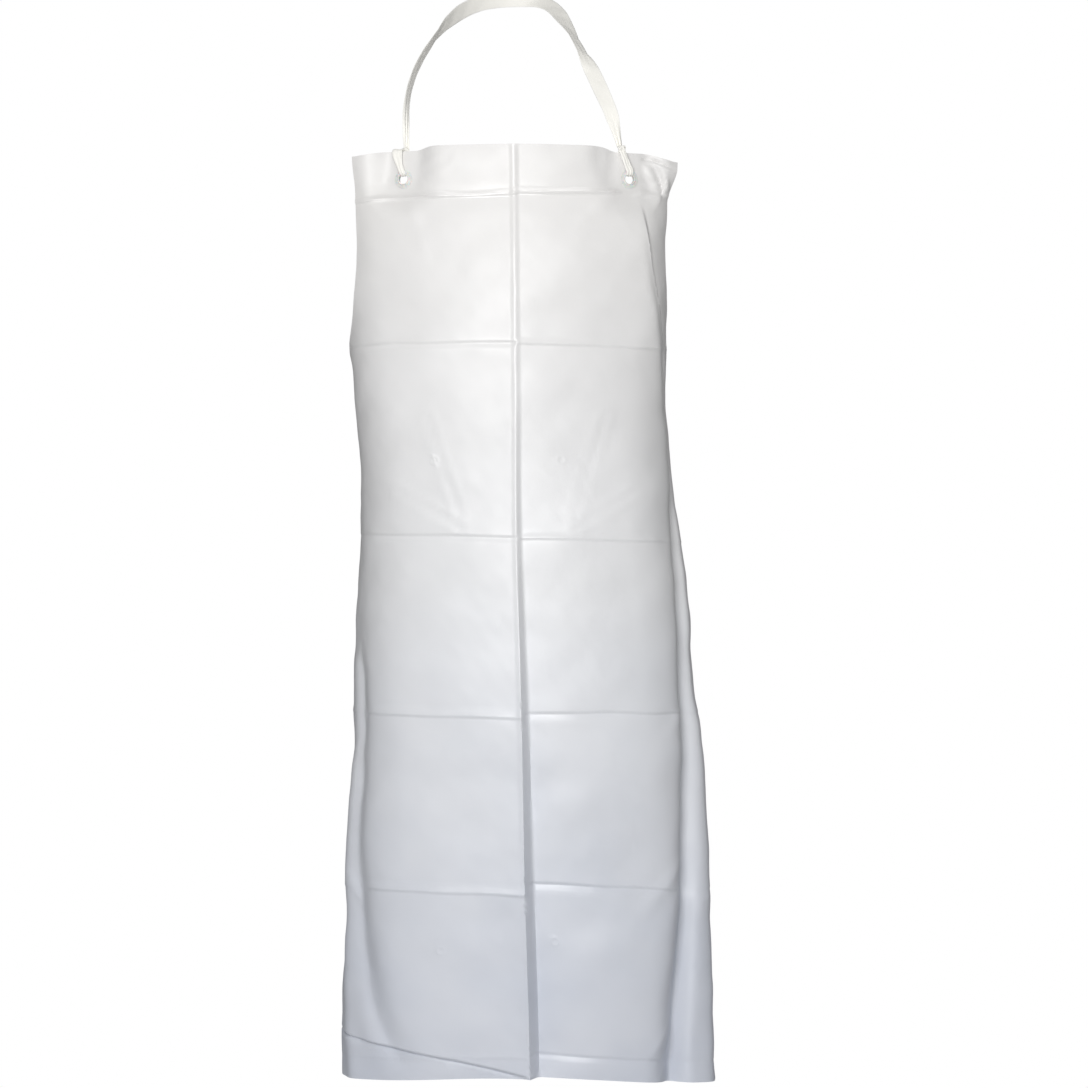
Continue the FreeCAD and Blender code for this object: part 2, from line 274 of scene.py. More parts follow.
def smooth_film(reach, drop):
    """The film without its creases: the CAD wrap at the back and at the eyelets, the worn shape elsewhere."""
    around = np.abs(reach)
    cad_x, cad_y = wrap(reach, level_value(WRAP_LEVELS, 1, drop), drop)
    half_width = by_side(reach, level_value(WORN_LEVELS, 2, drop), level_value(WORN_LEVELS, 3, drop))
    worn_x, worn_y = wrap(reach, half_width, drop)
    worn_x = worn_x + level_value(WORN_LEVELS, 1, drop)
    share = (1 - ramp(around, *BACK_BLEND)) * ramp(eyelet_distance(reach, drop), *EYELET_BLEND)
    x = cad_x + (worn_x - cad_x) * share
    y = cad_y + (worn_y - cad_y) * share
    hem_sag = by_side(reach, *HEM_SAG) * (drop / FILM_LENGTH) ** HEM_POWER * ramp(around, 0, HEM_REACH)
    corner_sag = by_side(reach, *CORNER_SAG) * ramp(around, *CORNER_SPAN) * (1 - ramp(drop, 0, CORNER_DROP))
    edge_sag = by_side(reach, *EDGE_SAG) * ramp(around, *EDGE_SPAN) * (1 - ramp(drop, 0, EDGE_DROP))
    z = BIB_TOP_Z - drop - hem_sag - corner_sag - edge_sag
    return np.stack([x, BODY_AXIS_Y + y, z], axis=-1)


def film_slopes(reach, drop):
    """Vectors along the smooth film at each flat place, one sideways and one down."""
    across = smooth_film(reach + SLOPE_STEP, drop) - smooth_film(reach - SLOPE_STEP, drop)
    down = smooth_film(reach, drop + SLOPE_STEP) - smooth_film(reach, np.maximum(drop - SLOPE_STEP, 0))
    return across, down


# ---- the film's relief: its pressed folds, pleats, creases and marks ----

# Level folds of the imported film: drop at the left side, left and right of the upright fold and at the right
# side, then how far the left and right halves stand proud (or sunk, below 0), and the width of the fold's
# long flank, which faces up. Its other flank is steep.
Fold = namedtuple("Fold", "left_end left_middle right_middle right_end left_proud right_proud flank")
LEVEL_FOLDS = [
    Fold(60, 56, 54, 52, 2.1, 2.1, 6.2),
    Fold(228, 228, 228, 230, -1.5, 1.5, 6.5),
    Fold(446, 452, 452, 452, -1.5, 1.5, 6.5),
    Fold(650, 658, 654, 650, 1.8, -1.8, 7.5),
    Fold(850, 860, 848, 852, 1.8, -1.8, 7.5),
    Fold(1044, 1046, 1044, 1046, 0.7, -1.3, 6.0),
]
TOP_FOLD = LEVEL_FOLDS[0]
FOLD_DROPS = [fold.left_middle for fold in LEVEL_FOLDS]
STEEP_FLANK = 2.6
# The halves meet within this distance of the film's middle. The folds weaken between the two side reaches.
FOLD_MEETING = 3
FOLD_WAVER = 0.4
FOLD_UNEVENNESS = 0.12
FOLD_SIDE_LOSS = 0.7
FOLD_SIDE = (160, 215)

# The upright fold: drops, and its reach at each of them. Between the pleat's drops its crest turns into a
# pleat, whose band grows wider. A pleat fades over these distances to its left and its right.
UPRIGHT_FOLD = ([0, 300, 520, 653, 852, 1000], [-3, 0, -2, -3, -2, 0])
CREST_HEIGHT = 1.9
CREST_HALF_WIDTH = 5.4
CREST_FLANK = 4.2
PLEAT_HEIGHT = 13.0
PLEAT_DROPS = (200, 1000)
PLEAT_BAND = 4.5
PLEAT_BAND_GROWTH = 6.5
PLEAT_POWER = 1.15
PLEAT_FADES = (40, 55)

# Crowns of the panels between the level folds, in turn, and how far they reach.
PANEL_CROWNS = (0.5, 1.4)
PANEL_REACH = 190

# Single creases: route on the flat film, height, half width. A crease is level over this share of its route
# at each end, and its middle is fuller the lower the power.
CREASES = [
    ([(-148, 25), (-175, 60)], -1.6, 6.0),
    ([(-128, 58), (-104, 130)], 0.8, 9.0),
    ([(-116, 40), (-84, 60)], 0.8, 8.0),
    ([(120, 50), (70, 92)], 1.0, 9.0),
    ([(136, 14), (158, 6), (190, 12)], -3.4, 4.5),
    ([(150, 16), (168, 36)], 3.8, 8.0),
    ([(166, 16), (180, 50)], -5.0, 5.5),
    ([(180, 28), (190, 46)], 2.6, 6.0),
    ([(156, 46), (192, 50)], -2.6, 4.5),
    ([(130, 880), (210, 805)], 2.4, 13.0),
    ([(165, 680), (212, 640)], 1.8, 10.0),
    ([(138, 1045), (186, 990)], 2.2, 8.0),
    ([(150, 1062), (190, 1016)], -2.0, 7.0),
    ([(-246, 830), (-222, 872)], 2.0, 8.0),
]
CREASE_END = 0.04
CREASE_POWER = 0.6

# Hanging folds: route on the flat film, then at the route's two ends the fold's height and how far it
# spreads to its left and to its right. A route that crosses the hem goes on below it. A fold fades over
# the given share of its route at each end.
RIGHT_VALLEY = curved([(145, 50), (165, 140), (200, 260), (218, 400), (218, 780), (188, 1040), (180, 1200)])
LEFT_VALLEY = curved([(-224, 560), (-226, 800), (-212, 910), (-185, 1000), (-135, 1065)])
DRAPES = [
    (RIGHT_VALLEY, (-1, -28), (5, 28), (4, 9)),
    (curved([(242, 620), (240, 850), (215, 1200)]), (6, 10), (14, 18), (14, 18)),
    (LEFT_VALLEY, (-7, -8), (10, 15), (18, 24)),
    (curved([(-252, 680), (-248, 850), (-225, 1100)]), (4, 5), (14, 14), (14, 14)),
]
DRAPE_FADE = 0.1

# The bib's top edge leans forward, less beside the eyelets and at the sides, and dips right of the middle.
LEAN = 9.0
LEAN_DROP = 56
LEAN_EYELET = (13, 48)
LEAN_SIDE_LOSS = 0.8
LEAN_SIDE = (150, 190)
DIP = 3.5
DIP_REACH = 95
DIP_WIDTH = 9
DIP_DROPS = (8, 42)
# Right of the valley the bib turns back at a slope and falls by a pleat. Each grows between its first two
# drops and fades between its last two.
TURN_SLOPE = 0.26
TURN_SOFTNESS = 2
TURN_GROWS = (10, 60)
TURN_FADES = (170, 330)
FALL_HEIGHT = 3.6
FALL_BAND = 3.8
FALL_GROWS = (60, 110)
FALL_FADES = (330, 480)

# The slanting crease above the left half of the hem: its drop at the film's middle, its slope and its bend.
# Below it the film steps back within a short run and then leans back. The step ends between its left
# reaches, where a groove carries on, and both end between the middle reaches.
TUCK_DROP = 1068
TUCK_SLOPE = 0.25
TUCK_BEND = 0.0002
TUCK_STEP = 4.5
TUCK_RUN = 2.6
TUCK_LEAN = 0.08
TUCK_LEFT = (-232, -180)
TUCK_MIDDLE = (-8, 0)
GROOVE_DEPTH = 2.6
GROOVE_LEFT = (-300, -262)

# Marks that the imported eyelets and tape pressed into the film: tape runs, then eyelet rings.
TAPE_MARKS = [
    [(-78, 15), (-132, 44)],
    [(-140, 397), (-66, 439)],
    [(-104, 313), (-66, 427)],
    [(140, 397), (66, 439)],
    [(104, 313), (66, 427)],
]
TAPE_MARK_HEIGHT = 0.8
TAPE_MARK_HALF_WIDTH = 8
TAPE_MARK_EDGE = 2.5
EYELET_MARKS = [(-96, 362), (52, 362), (-100, 922), (32, 914)]
EYELET_MARK_RADIUS = 4.5
EYELET_MARK_HEIGHT = 0.35
EYELET_MARK_WIDTH = 1.5
EYELET_MARK_UNEVENNESS = 0.6

# The film's own unevenness: height, length and seed of each size of wave. The film is tauter near the top
# fold. Its slack at the sides and the back grows between two reaches, in waves that are long downwards.
FILM_WAVES = [(1.6, 170, 11), (0.6, 62, 12), (0.14, 23, 13)]
TAUTNESS = 0.8
TAUT_WIDTH = 16
SLACK_HEIGHT = 3.5
SLACK_REACHES = (200, 300)
SLACK_DROP_SHARE = 0.25

# The relief grows between these distances from an eyelet.
EYELET_RELIEF = (12, 26)

# How far folding has polished the upright fold, the level folds and the top fold, which is less polished
# past the given reaches.
UPRIGHT_POLISH = 0.6
UPRIGHT_POLISH_WIDTH = 4
LEVEL_POLISH = 0.5
LEVEL_POLISH_WIDTH = 7
TOP_POLISH_LOSS = 0.6
TOP_POLISH_SIDE = (85, 125)


def fold_drop(fold, reach):
    """The drop of a level fold at each reach: a line that is nearly straight."""
    straight = np.interp(reach, [-BIB_REACH, -FOLD_MEETING, FOLD_MEETING, BIB_REACH], fold[:4])
    return straight + FOLD_WAVER * swell(reach, fold.left_middle, length=110, seed=15)


def upright_fold_reach(drop):
    """The reach of the upright fold, which wanders a little left of the film's middle."""
    return np.interp(drop, *UPRIGHT_FOLD)


def level_folds(reach, drop):
    """The pressed folds from side to side, each with a long flank that faces up and a steep one."""
    left = 1 - ramp(reach, -FOLD_MEETING, FOLD_MEETING)
    fade = 1 - FOLD_SIDE_LOSS * ramp(np.abs(reach), *FOLD_SIDE)
    height = np.zeros(np.shape(reach))
    for fold in LEVEL_FOLDS:
        proud = fold.left_proud * left + fold.right_proud * (1 - left)
        uneven = 1 + FOLD_UNEVENNESS * swell(reach, fold.left_middle, length=90, seed=16)
        below = drop - fold_drop(fold, reach)
        flank = np.where((below < 0) == (proud > 0), fold.flank, STEEP_FLANK)
        height += proud * fade * uneven * tent(below, flank)
    return height


def pleat(aside, band):
    """A fold that is proud on its left, at 1, falls to -1 across a band and levels out to each side."""
    fall = 1 - (1 - np.clip(aside / band, 0, 1)) ** PLEAT_POWER
    left = np.exp(np.minimum(aside, 0) / PLEAT_FADES[0])
    right = -np.exp(-np.maximum(aside - band, 0) / PLEAT_FADES[1])
    return np.select([aside < 0, aside < band], [left, 1 - 2 * fall], right)


def upright_fold(reach, drop):
    """The upright fold: a narrow crest on the bib that turns into a pleat lower down."""
    aside = reach - upright_fold_reach(drop)
    lower = ramp(drop, *PLEAT_DROPS)
    crest = CREST_HEIGHT * (1 - lower) * np.clip((CREST_HALF_WIDTH - np.abs(aside)) / CREST_FLANK, 0, 1)
    return crest + PLEAT_HEIGHT * lower * pleat(aside, PLEAT_BAND + PLEAT_BAND_GROWTH * lower)


def panels(reach, drop):
    """Each panel between the folds is a shallow pillow, every other one a fuller one."""
    drops = [0] + FOLD_DROPS + [FILM_LENGTH]
    height = np.zeros(np.shape(reach))
    for n, (top, bottom) in enumerate(zip(drops, drops[1:])):
        inside = np.clip((drop - top) / (bottom - top), 0, 1)
        crown = np.sin(math.pi * inside) * np.sin(math.pi * np.clip(np.abs(reach) / PANEL_REACH, 0, 1))
        height += PANEL_CROWNS[n % 2] * crown
    return height


def creases_and_drapes(reach, drop):
    """Short crumples, and the long soft folds that hang down the sides."""
    height = np.zeros(np.shape(reach))
    for route, proud, width in CREASES:
        distance, share = nearest(reach, drop, route)
        inside = np.clip(share, CREASE_END, 1 - CREASE_END)
        height += proud * tent(distance, width) * np.sin(math.pi * inside) ** CREASE_POWER
    for route, proud, left, right in DRAPES:
        distance, share = nearest(reach, drop, route)
        faded = ramp(share, 0, DRAPE_FADE) * (1 - ramp(share, 1 - DRAPE_FADE, 1))
        width = np.where(distance < 0, np.interp(share, (0, 1), left), np.interp(share, (0, 1), right))
        height += faded * np.interp(share, (0, 1), proud) * hill(distance, width)
    return height


def bib_top(reach, drop):
    """The top edge leans forward and dips, and the bib falls and turns back right of the valley."""
    lean = LEAN * np.clip(1 - drop / LEAN_DROP, 0, 1) * ramp(eyelet_distance(reach, drop), *LEAN_EYELET)
    lean = lean * (1 - LEAN_SIDE_LOSS * ramp(np.abs(reach), *LEAN_SIDE))
    dip = DIP * hill(reach - DIP_REACH, DIP_WIDTH) * (1 - ramp(drop, *DIP_DROPS))
    aside = reach - np.interp(drop, RIGHT_VALLEY[:, 1], RIGHT_VALLEY[:, 0])
    turned = TURN_SLOPE * past(aside, TURN_SOFTNESS) * ramp(drop, *TURN_GROWS) * (1 - ramp(drop, *TURN_FADES))
    fallen = FALL_HEIGHT * pleat(aside, FALL_BAND) * ramp(drop, *FALL_GROWS) * (1 - ramp(drop, *FALL_FADES))
    return lean - dip - turned + fallen


def hem_tuck_drop(reach):
    """The drop of the slanting crease above the hem: a very shallow arc."""
    return TUCK_DROP + TUCK_SLOPE * reach + TUCK_BEND * reach**2


def hem_tuck(reach, drop):
    """Below a slanting crease the left half of the hem is stepped back."""
    below = drop - hem_tuck_drop(reach)
    inner = 1 - ramp(reach, *TUCK_MIDDLE)
    step = TUCK_STEP * ramp(below, 0, TUCK_RUN) + TUCK_LEAN * np.maximum(below, 0)
    step = step * ramp(reach, *TUCK_LEFT)
    groove = GROOVE_DEPTH * tent(below - TUCK_RUN / 2, TUCK_RUN) * ramp(reach, *GROOVE_LEFT)
    return -(step + groove) * inner


def marks(reach, drop):
    """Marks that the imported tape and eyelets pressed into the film."""
    height = np.zeros(np.shape(reach))
    for route in TAPE_MARKS:
        distance, _ = nearest(reach, drop, route)
        height += TAPE_MARK_HEIGHT * peak(np.abs(distance) - TAPE_MARK_HALF_WIDTH, TAPE_MARK_EDGE)
    for mark_reach, mark_drop in EYELET_MARKS:
        ring = np.hypot(reach - mark_reach, drop - mark_drop) - EYELET_MARK_RADIUS
        uneven = 1 + EYELET_MARK_UNEVENNESS * swell(reach, drop, length=14, seed=17)
        height += EYELET_MARK_HEIGHT * hill(ring, EYELET_MARK_WIDTH) * uneven
    return height


def waves(reach, drop):
    """The film's own slight unevenness, and the slack that hangs at the sides and the back."""
    uneven = sum(height * swell(reach, drop, length, seed) for height, length, seed in FILM_WAVES)
    taut = 1 - TAUTNESS * hill(drop - TOP_FOLD.left_middle, TAUT_WIDTH)
    slack = swell(reach, SLACK_DROP_SHARE * drop, length=95, seed=14)
    return uneven * taut + SLACK_HEIGHT * ramp(np.abs(reach), *SLACK_REACHES) * slack


def relief(reach, drop):
    """How far each place of the film stands out of its smooth shape: not at all beside the eyelets."""
    parts = (level_folds, upright_fold, panels, creases_and_drapes, bib_top, hem_tuck, marks, waves)
    return sum(part(reach, drop) for part in parts) * ramp(eyelet_distance(reach, drop), *EYELET_RELIEF)


def pressed(reach, drop):
    """Where folding has polished the film: most on the pressed folds, 0 away from them."""
    polish = UPRIGHT_POLISH * hill(reach - upright_fold_reach(drop), UPRIGHT_POLISH_WIDTH)
    top_polish = 1 - TOP_POLISH_LOSS * ramp(np.abs(reach), *TOP_POLISH_SIDE)
    for fold in LEVEL_FOLDS:
        most = top_polish if fold is TOP_FOLD else LEVEL_POLISH
        polish = np.maximum(polish, most * hill(drop - fold_drop(fold, reach), LEVEL_POLISH_WIDTH))
    return polish


def surface(reach, drop):
    """Points of the film's outer face, in metres."""
    across, down = film_slopes(reach, drop)
    outward = unit(np.cross(down, across))
    return (smooth_film(reach, drop) + outward * relief(reach, drop)[..., None]) * MM


# ---- the film's mesh ----

# Steps of the cut's edge: places first tried along an armhole, the spacing kept there, and then how many
# steps each side, the top edge and the hem have.
ARMHOLE_SAMPLES = 721
ARMHOLE_SPACING = 4.5
SIDE_STEPS = 156
TOP_STEPS = 90
HEM_STEPS = 190
# Spacing of the grid, and the distances of its closer lines from the upright fold, the level folds, the
# valleys and the hem's tuck. Past the back reach every other column is left out.
GRID_SPACING = 5.2
UPRIGHT_OFFSETS = [1.2, 2.4, 3.9, 5.4, 7.2, 9.2, 11.2, 13.4, 16]
LEVEL_OFFSETS = [1.3, 2.6, 4.0, 5.6, 7.6]
VALLEY_OFFSETS = [1.3, 2.6, 3.9, 5.4, 7.2, 9.6, 12.6]
TUCK_OFFSETS = [1.3, 2.6, 4.4]
STRIP_SPACING = 3.4
STRIP_MARGIN = 2
BACK_REACH = 270
# Columns follow the upright fold fully within the first reach, and rows a level fold within the first
# distance; past the second they are straight.
COLUMN_BEND = (12, 90)
ROW_BEND = (8, 26)
# The bib's crumpled corner, lowest and highest reach and then drop, has a finer grid.
CRUMPLED_CORNER = (120, 196, 2.5, 96)
CORNER_SPACING = 2.5
TUCK_REACH = -300
TUCK_POINTS = 31
GRID_MARGIN = 2.2
# Rings of points round an eyelet and round an eyelet's mark, and how far the grid stays away from them.
EYELET_RINGS = (8.5, 10.5, 13, 16)
EYELET_RING_POINTS = 40
EYELET_CLEARING = 18
MARK_RINGS = (1.8, 3.2, 4.5, 5.8, 7.4)
MARK_RING_POINTS = 28
MARK_CLEARING = 8.5
RING_MARGIN = 1.5


def armhole_reach(drop):
    """Half the film's width at each drop."""
    sine = np.clip(drop / ARMHOLE_DROP, 0, 1) ** (ARMHOLE_POWER / 2)
    fall = 1 - np.sqrt(1 - sine**2) ** (2 / ARMHOLE_POWER)
    return BIB_REACH + (WAIST_REACH - BIB_REACH) * fall


def armhole_drop_at(reach):
    """The drop of the armhole's edge at each reach, 0 over the bib."""
    fall = np.clip((np.abs(reach) - BIB_REACH) / (WAIST_REACH - BIB_REACH), 0, 1)
    cosine = (1 - fall) ** (ARMHOLE_POWER / 2)
    return ARMHOLE_DROP * np.sqrt(1 - cosine**2) ** (2 / ARMHOLE_POWER)


def inside_cut(reach, drop, margin):
    """Whether each flat place lies on the film, at least that far inside its edges."""
    return (
        (np.abs(reach) <= armhole_reach(drop) - margin)
        & (drop >= armhole_drop_at(reach) + margin)
        & (drop <= FILM_LENGTH - margin)
    )


def graded(stops, spacing, extra):
    """Even steps from the first stop to the last, with closer ones round each stop between."""
    steps = list(np.linspace(stops[0], stops[-1], int(round((stops[-1] - stops[0]) / spacing)) + 1))
    for stop in stops[1:-1]:
        steps = [step for step in steps if abs(step - stop) > extra[-1] + 0.4 * spacing]
        steps += [stop] + [stop - e for e in extra] + [stop + e for e in extra]
    return np.array(sorted(steps))


def cut_outline():
    """The film's edge as flat points in order, with steps of about 5 mm."""
    turns = np.linspace(0, math.pi / 2, ARMHOLE_SAMPLES)
    reach = BIB_REACH + (WAIST_REACH - BIB_REACH) * (1 - np.cos(turns).clip(0) ** (2 / ARMHOLE_POWER))
    drop = ARMHOLE_DROP * np.sin(turns) ** (2 / ARMHOLE_POWER)
    run = np.concatenate([[0], np.cumsum(np.hypot(np.diff(reach), np.diff(drop)))])
    even = np.linspace(0, run[-1], int(run[-1] / ARMHOLE_SPACING))
    armhole = flat_points(np.interp(even, run, reach), np.interp(even, run, drop))
    side = flat_points(WAIST_REACH, np.linspace(ARMHOLE_DROP, FILM_LENGTH, SIDE_STEPS + 1)[1:])
    half = np.concatenate([armhole, side])
    top = flat_points(np.linspace(-BIB_REACH, BIB_REACH, TOP_STEPS + 1)[1:-1], 0)
    hem = flat_points(np.linspace(WAIST_REACH, -WAIST_REACH, HEM_STEPS + 1)[1:-1], FILM_LENGTH)
    return np.concatenate([half, hem, half[::-1] * (-1, 1), top])


def ring_points(centre, radius, count):
    """Flat points round a circle."""
    angle = np.linspace(0, 2 * math.pi, count, endpoint=False)
    return flat_points(centre[0] + radius * np.cos(angle), centre[1] + radius * np.sin(angle))


def flat_grid():
    """Rows and columns of flat places, closer together along the folds, valleys and crumples."""
    columns = graded([-WAIST_REACH, 0, WAIST_REACH], GRID_SPACING, UPRIGHT_OFFSETS)
    columns = np.array([c for n, c in enumerate(columns) if abs(c) < BACK_REACH or n % 2 == 0])
    rows = graded([0] + FOLD_DROPS + [FILM_LENGTH], GRID_SPACING, LEVEL_OFFSETS)
    reach, drop = np.meshgrid(columns, rows)
    bend = upright_fold_reach(drop) * (1 - ramp(np.abs(reach), *COLUMN_BEND))
    tilt = sum(
        (fold_drop(fold, reach) - fold.left_middle) * (1 - ramp(np.abs(drop - fold.left_middle), *ROW_BEND))
        for fold in LEVEL_FOLDS
    )
    grid = flat_points(reach + bend, drop + tilt)

    low_reach, high_reach, low_drop, high_drop = CRUMPLED_CORNER
    within = (grid > (low_reach, low_drop)).all(axis=1) & (grid < (high_reach, high_drop)).all(axis=1)
    fine_reaches = np.arange(low_reach, high_reach, CORNER_SPACING)
    fine_drops = np.arange(low_drop, high_drop, CORNER_SPACING)
    grid = np.concatenate([grid[~within], flat_points(*np.meshgrid(fine_reaches, fine_drops))])

    tuck_reach = np.linspace(TUCK_REACH, 0, TUCK_POINTS)
    tuck = flat_points(tuck_reach, hem_tuck_drop(tuck_reach))
    strips = [(RIGHT_VALLEY, VALLEY_OFFSETS), (LEFT_VALLEY, VALLEY_OFFSETS), (tuck, TUCK_OFFSETS)]
    for route, side_offsets in strips:
        offsets = [0] + side_offsets + [-offset for offset in side_offsets]
        distance, _ = nearest(grid[:, 0], grid[:, 1], route)
        clear = np.abs(distance) > side_offsets[-1] + STRIP_MARGIN
        grid = np.concatenate([grid[clear], beside(route, STRIP_SPACING, offsets)])
    return grid[inside_cut(grid[:, 0], grid[:, 1], GRID_MARGIN)]


def flat_mesh():
    """The cut film as flat triangles."""
    grid = flat_grid()
    eyelets = [(s * c[0], c[1]) for c in (BIB_EYELET, WAIST_EYELET) for s in (-1, 1)]
    rings = []
    for centre in eyelets:
        grid = grid[np.hypot(*(grid - centre).T) > EYELET_CLEARING]
        rings += [ring_points(centre, radius, EYELET_RING_POINTS) for radius in EYELET_RINGS]
    for centre in EYELET_MARKS:
        grid = grid[np.hypot(*(grid - centre).T) > MARK_CLEARING]
        rings += [ring_points(centre, radius, MARK_RING_POINTS) for radius in MARK_RINGS]
    rings = np.concatenate(rings)
    rings = rings[inside_cut(rings[:, 0], rings[:, 1], RING_MARGIN)]
    loops = [cut_outline()] + [ring_points(centre, FILM_HOLE, EYELET_RING_POINTS) for centre in eyelets]
    edges, count = [], 0
    for loop in loops:
        edges += [(count + n, count + (n + 1) % len(loop)) for n in range(len(loop))]
        count += len(loop)
    points = np.concatenate(loops + [grid, rings])
    corners, _, faces, *_ = delaunay_2d_cdt(points.tolist(), edges, [], 0, 1e-5, False)
    flat = np.array([tuple(c) for c in corners])
    faces = np.array(faces)
    middle = flat[faces].mean(axis=1)
    keep = inside_cut(middle[:, 0], middle[:, 1], 0)
    for centre in eyelets:
        keep &= np.hypot(*(middle - centre).T) > FILM_HOLE
    return flat, faces[keep]


def mesh_object(name, points, faces, tape_place=None):
    """A smooth-shaded object from points in metres, with each one's place on the flat tape if it is given."""
    mesh = bpy.data.meshes.new(name)
    mesh.from_pydata([tuple(p) for p in points], [], [tuple(int(i) for i in f) for f in faces])
    if tape_place is not None:
        values = mesh.attributes.new("tape_place", "FLOAT_VECTOR", "POINT")
        values.data.foreach_set("vector", np.asarray(tape_place, np.float32).ravel())
    mesh.shade_smooth()
    mesh.update()
    item = bpy.data.objects.new(name, mesh)
    bpy.context.scene.collection.objects.link(item)
    return item


def point_normals(points, faces):
    """The mean outward direction at each point of a triangle mesh."""
    a, b, c = (points[faces[:, n]] for n in range(3))
    normals = np.zeros(points.shape)
    for n in range(3):
        np.add.at(normals, faces[:, n], np.cross(b - a, c - a))
    return unit(normals + 1e-15)


def make_film():
    """The film with both faces and its cut edges."""
    flat, faces = flat_mesh()
    faces = faces[:, ::-1]
    used = np.unique(faces)
    place = np.full(len(flat), -1)
    place[used] = np.arange(len(used))
    flat, faces = flat[used], place[faces]
    outer = surface(flat[:, 0], flat[:, 1])
    inner = outer - point_normals(outer, faces) * FILM_THICKNESS * MM
    sides = np.concatenate([faces[:, [0, 1]], faces[:, [1, 2]], faces[:, [2, 0]]])
    known = set(map(tuple, sides.tolist()))
    rim = [(a, b) for a, b in sides.tolist() if (b, a) not in known]
    count = len(outer)
    walls = [(b, a, a + count, b + count) for a, b in rim]
    all_faces = faces.tolist() + (faces[:, ::-1] + count).tolist() + walls
    film = mesh_object("vinyl_film", np.concatenate([outer, inner]), all_faces)
    polish = film.data.attributes.new("pressed", "FLOAT", "POINT")
    polish.data.foreach_set("value", np.tile(pressed(flat[:, 0], flat[:, 1]), 2).astype(np.float32))
    film.data.set_sharp_from_angle(angle=math.radians(60))
    return film


# ---- tape ----

TAPE_WIDTH = 18.0
TAPE_THICKNESS = 0.8
TAPE_COLUMNS = 23
# The tape is thinner at its selvedges. Where it is gathered it is thicker and lies in this many half waves
# of pleats, which waver along it. It has slight ripples that turn this many radians over this run in metres.
SELVEDGE_THINNING = 0.93
SELVEDGE_POWER = 8
GATHERED_THICKENING = 0.9
GATHERED_WAVES = 2.5
GATHERED_WAVER = 0.6
GATHERED_WAVER_TURNS = 9
RIPPLE_HEIGHT = 0.12
RIPPLE_TURN = 60
RIPPLE_RUN = 0.3
RIPPLE_SKEW = 3

# The strap's route from the right knot over the shoulders and round the nape to the left knot.
TAPE_ROUTE = [
    (0.1197, -0.1110, -0.1985),
    (0.1130, -0.1000, -0.1640),
    (0.1020, -0.0830, -0.1360),
    (0.0880, -0.0580, -0.1020),
    (0.0725, -0.0310, -0.0680),
    (0.0600, -0.0030, -0.0420),
    (0.0440, 0.0420, -0.0120),
    (0.0193, 0.0660, 0.0000),
    (-0.0193, 0.0660, 0.0000),
    (-0.0560, 0.0430, -0.0100),
    (-0.0850, -0.0020, -0.0380),
    (-0.1000, -0.0300, -0.0640),
    (-0.1150, -0.0540, -0.0920),
    (-0.1250, -0.0760, -0.1220),
    (-0.1300, -0.0980, -0.1600),
    (-0.1275, -0.1045, -0.2040),
]
# Along the strap from right to left: share of its length, turn about its run in degrees, and width in mm.
STRAP_TURNS = np.array([
    (0.00, 20, 6.5), (0.02, 14, 8.5), (0.04, 8, 12.0), (0.06, 4, 15.5), (0.13, 0, 18.0), (0.18, 12, 17.5),
    (0.23, 62, 16.0), (0.28, 70, 16.5), (0.36, 30, 18.0), (0.50, 0, 18.0), (0.62, -30, 18.0),
    (0.72, -70, 17.0), (0.80, -60, 17.0), (0.88, -52, 17.0), (0.94, -40, 12.0), (0.97, -30, 8.0),
    (1.00, -20, 5.5),
])
STRAP_PLEAT = 1.6
# The strap's face leans outward on both shoulders and changes sides within this distance of the nape.
STRAP_LEAN = 0.7
NAPE_HALF_WIDTH = 0.02

# Loops and knots: places along an eyelet's sideways, upward and outward directions, for the right one, 1,
# and the left one, -1. The loops' widths are those at the given shares of their length.
LOOP_ROUTES = {
    1: [
        (-9.8, 34, 1), (-9.4, 32, 4.6), (-7, 24, 4.6), (-3, 14, 4.8), (-0.8, 9.5, 4.6), (0, 6.2, 3.2),
        (0, 4.2, 0.4), (0, 4.4, -3), (0, 7, -5.6), (-1, 13, -5.6), (-5, 23, -4.6), (-9, 31, -3),
        (-9.8, 34, 1),
    ],
    -1: [
        (1.5, 29, -4.8), (-2.5, 34.5, -2.8), (-7.6, 34.5, 2.6), (-7.2, 29, 4.6), (-4.8, 19, 4.6),
        (-1.8, 11, 4.8), (-0.4, 6.6, 3.4), (0, 4.2, 0.4), (0, 4.4, -3), (0.4, 7, -5.6), (1, 14, -5.6),
        (1.5, 22, -5.2), (1.5, 29, -4.8),
    ],
}
LOOP_SHARES = (0, 0.15, 0.45, 1)
LOOP_WIDTHS = {1: (8.0, 7.0, 8.5, 7.0), -1: (10.0, 15.0, 7.5, 8.0)}
LOOP_THICKNESS = 1.1
LOOP_PLEAT = 0.35
KNOT_PLACES = {1: (-9.8, 34.5, 3.0), -1: (2.0, 27, -5.4)}
KNOT_SIZE = (1.05, 0.90, 1.5)
KNOT_POINTS = 140
KNOT_WIDTH = 4.4
KNOT_THICKNESS = 1.5
KNOT_PLEAT = 0.15
SIDE_NAMES = {1: "right", -1: "left"}


def smooth_line(points, name):
    """The places along a NURBS spline with these control points."""
    curve = bpy.data.curves.new(name, "CURVE")
    curve.dimensions = "3D"
    curve.resolution_u = 24
    spline = curve.splines.new("NURBS")
    spline.points.add(len(points) - 1)
    for target, place in zip(spline.points, points):
        target.co = (*place, 1)
    spline.order_u = 3
    spline.use_endpoint_u = True
    holder = bpy.data.objects.new(name, curve)
    mesh = bpy.data.meshes.new_from_object(holder)
    line = np.array([v.co for v in mesh.vertices])
    bpy.data.objects.remove(holder)
    bpy.data.curves.remove(curve)
    bpy.data.meshes.remove(mesh)
    gaps = np.linalg.norm(np.diff(line, axis=0), axis=1)
    return line[np.concatenate([[True], gaps > 1e-7])]


